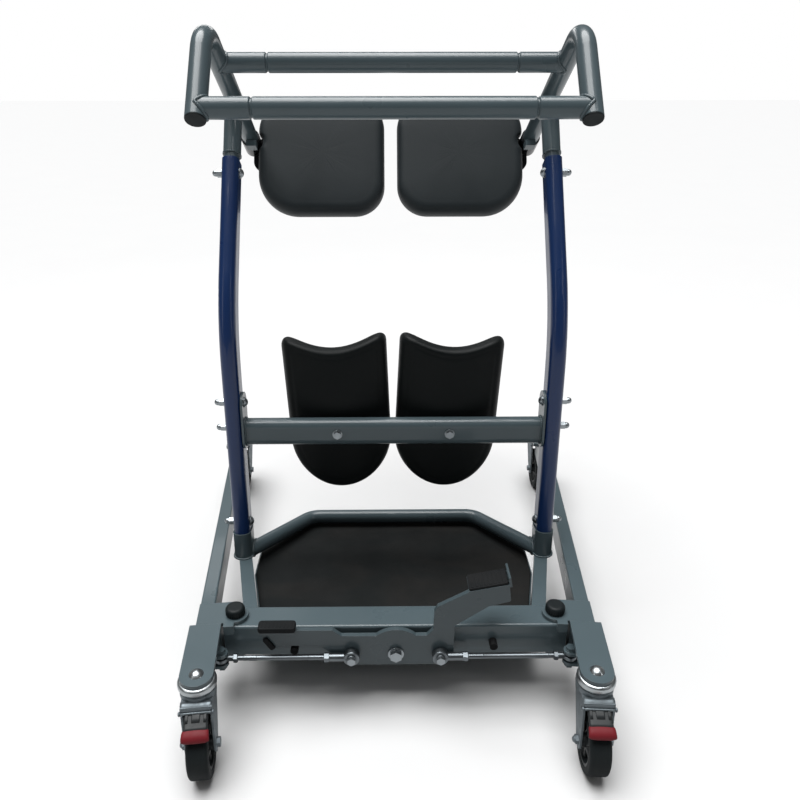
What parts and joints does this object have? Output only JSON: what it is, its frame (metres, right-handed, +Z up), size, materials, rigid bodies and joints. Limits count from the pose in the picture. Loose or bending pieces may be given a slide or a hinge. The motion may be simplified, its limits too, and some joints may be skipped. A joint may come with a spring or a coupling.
{
  "type": "standing transfer hoist",
  "caption": "Wheeled standing transfer hoist with splayed legs, raked uprights, handle loops, swing-away half seats, shin pads, footplate and a foot crank.",
  "frame": {"origin": "middle of the overall length and width, on the floor under the wheels", "axes": "+Z up, -Y towards the carer's side with the foot crank, +Y towards the side where the patient steps on, +X to the right as seen from the carer's side"},
  "size_m": [0.8228, 0.9366, 1.036],
  "materials": {
    "grey_paint": "satin",
    "navy_paint": "satin",
    "black_paint": "satin",
    "seat_skin": "satin",
    "shin_skin": "satin",
    "mat_rubber": "matte",
    "pad_rubber": "matte",
    "black_plastic": "satin",
    "fastener_zinc": "satin",
    "rod_steel": "satin",
    "caster_zinc": "satin",
    "brake_lever": "satin",
    "tyre_rubber": "matte",
    "hub_plastic": "matte"
  },
  "bodies": {
    "frame": {"crank_pivot_bolt": "fastener_zinc", "crank_stops": "pad_rubber", "crossmember": "grey_paint", "footplate_mat": "mat_rubber", "footplate_tray": "grey_paint", "grip_bar_far": "grey_paint", "grip_bar_near": "grey_paint", "handle_loop_left": "grey_paint", "handle_loop_right": "grey_paint", "heel_rail": "grey_paint", "leg_pivot_bolts": "fastener_zinc", "loop_plugs": "black_plastic", "pivot_caps": "black_plastic", "seat_pins": "fastener_zinc", "seat_stops": "grey_paint", "shin_bar": "grey_paint", "shin_pad_bolts": "fastener_zinc", "shin_pad_left": "shin_skin", "shin_pad_right": "shin_skin", "side_rail_left": "grey_paint", "side_rail_right": "grey_paint", "upright_bolts": "fastener_zinc", "upright_left": "navy_paint", "upright_right": "navy_paint", "upright_socket_left": "grey_paint", "upright_socket_right": "grey_paint"},
    "crank": {"crank_plate": "grey_paint", "crank_pad": "pad_rubber", "tread_pad": "pad_rubber", "crank_rod_bolts": "fastener_zinc"},
    "rod_left": {"tie_rod_left": "rod_steel", "rod_end_left": "rod_steel"},
    "leg_left": {"leg_frame_left": "grey_paint", "caster_plates_left": "grey_paint", "caster_stems_left": "fastener_zinc", "rod_clevis_left": "grey_paint"},
    "seat_left": {"seat_pad_left": "seat_skin", "seat_bracket_left": "black_paint"},
    "brake_left": {"brake_pedal_left": "brake_lever"},
    "caster_near_left": {"caster_fork_near_left": "caster_zinc"},
    "wheel_near_left": {"wheel_tyre_near_left": "tyre_rubber", "wheel_hub_near_left": "hub_plastic"},
    "caster_far_left": {"caster_fork_far_left": "caster_zinc"},
    "wheel_far_left": {"wheel_tyre_far_left": "tyre_rubber", "wheel_hub_far_left": "hub_plastic"},
    "rod_right": {"tie_rod_right": "rod_steel", "rod_end_right": "rod_steel"},
    "leg_right": {"leg_frame_right": "grey_paint", "caster_plates_right": "grey_paint", "caster_stems_right": "fastener_zinc", "rod_clevis_right": "grey_paint"},
    "seat_right": {"seat_pad_right": "seat_skin", "seat_bracket_right": "black_paint"},
    "brake_right": {"brake_pedal_right": "brake_lever"},
    "caster_near_right": {"caster_fork_near_right": "caster_zinc"},
    "wheel_near_right": {"wheel_tyre_near_right": "tyre_rubber", "wheel_hub_near_right": "hub_plastic"},
    "caster_far_right": {"caster_fork_far_right": "caster_zinc"},
    "wheel_far_right": {"wheel_tyre_far_right": "tyre_rubber", "wheel_hub_far_right": "hub_plastic"}
  },
  "joints": [
    {"name": "leg_left_open", "type": "hinge", "parent": "frame", "child": "leg_left", "pos_m": [-0.2635, -0.25584, 0.12], "axis": [0, 0, 1], "range_deg": [0, 10]},
    {"name": "leg_right_open", "type": "hinge", "parent": "frame", "child": "leg_right", "pos_m": [0.2635, -0.25584, 0.12], "axis": [0, 0, -1], "range_deg": [0, 10]},
    {"name": "crank_turn", "type": "hinge", "parent": "frame", "child": "crank", "pos_m": [0, -0.29084, 0.106], "axis": [0, 1, 0], "range_deg": [0, 24]},
    {"name": "rod_left_swing", "type": "hinge", "parent": "crank", "child": "rod_left", "pos_m": [-0.072, -0.30284, 0.106], "axis": [0, 1, 0], "range_deg": [-33, 0]},
    {"name": "rod_right_swing", "type": "hinge", "parent": "crank", "child": "rod_right", "pos_m": [0.072, -0.30284, 0.106], "axis": [0, 1, 0], "range_deg": [-33, 0]},
    {"name": "caster_near_left_swivel", "type": "hinge", "parent": "leg_left", "child": "caster_near_left", "pos_m": [-0.29725, -0.3876, 0.143], "axis": [0, 0, 1], "continuous": true},
    {"name": "wheel_near_left_spin", "type": "hinge", "parent": "caster_near_left", "child": "wheel_near_left", "pos_m": [-0.29411, -0.41744, 0.05], "axis": [0.9945, 0.1045, 0], "continuous": true},
    {"name": "brake_left_press", "type": "hinge", "parent": "caster_near_left", "child": "brake_left", "pos_m": [-0.29453, -0.41346, 0.112], "axis": [0.9945, 0.1045, 0], "range_deg": [0, 8]},
    {"name": "caster_far_left_swivel", "type": "hinge", "parent": "leg_left", "child": "caster_far_left", "pos_m": [-0.37944, 0.43933, 0.143], "axis": [0, 0, 1], "continuous": true},
    {"name": "wheel_far_left_spin", "type": "hinge", "parent": "caster_far_left", "child": "wheel_far_left", "pos_m": [-0.37944, 0.40934, 0.05], "axis": [1, 0, 0], "continuous": true},
    {"name": "caster_near_right_swivel", "type": "hinge", "parent": "leg_right", "child": "caster_near_right", "pos_m": [0.29725, -0.3876, 0.143], "axis": [0, 0, 1], "continuous": true},
    {"name": "wheel_near_right_spin", "type": "hinge", "parent": "caster_near_right", "child": "wheel_near_right", "pos_m": [0.29568, -0.41756, 0.05], "axis": [0.9986, -0.0523, 0], "continuous": true},
    {"name": "brake_right_press", "type": "hinge", "parent": "caster_near_right", "child": "brake_right", "pos_m": [0.29589, -0.41357, 0.112], "axis": [0.9986, -0.0523, 0], "range_deg": [0, 8]},
    {"name": "caster_far_right_swivel", "type": "hinge", "parent": "leg_right", "child": "caster_far_right", "pos_m": [0.37944, 0.43933, 0.143], "axis": [0, 0, 1], "continuous": true},
    {"name": "wheel_far_right_spin", "type": "hinge", "parent": "caster_far_right", "child": "wheel_far_right", "pos_m": [0.37944, 0.40934, 0.05], "axis": [1, 0, 0], "continuous": true},
    {"name": "seat_left_swing", "type": "hinge", "parent": "frame", "child": "seat_left", "pos_m": [-0.2885, 0.37116, 0.852], "axis": [0, -0.8811, 0.4729], "range_deg": [0, 115]},
    {"name": "seat_right_swing", "type": "hinge", "parent": "frame", "child": "seat_right", "pos_m": [0.2885, 0.37116, 0.852], "axis": [0, 0.8811, -0.4729], "range_deg": [0, 115]}
  ],
  "couplings": [
    {"joint": "leg_right_open", "follows": "leg_left_open", "ratio": 1},
    {"joint": "crank_turn", "follows": "leg_left_open", "ratio": 2.4},
    {"joint": "rod_left_swing", "follows": "leg_left_open", "ratio": -3.2016},
    {"joint": "rod_right_swing", "follows": "leg_left_open", "ratio": -3.2016}
  ]
}
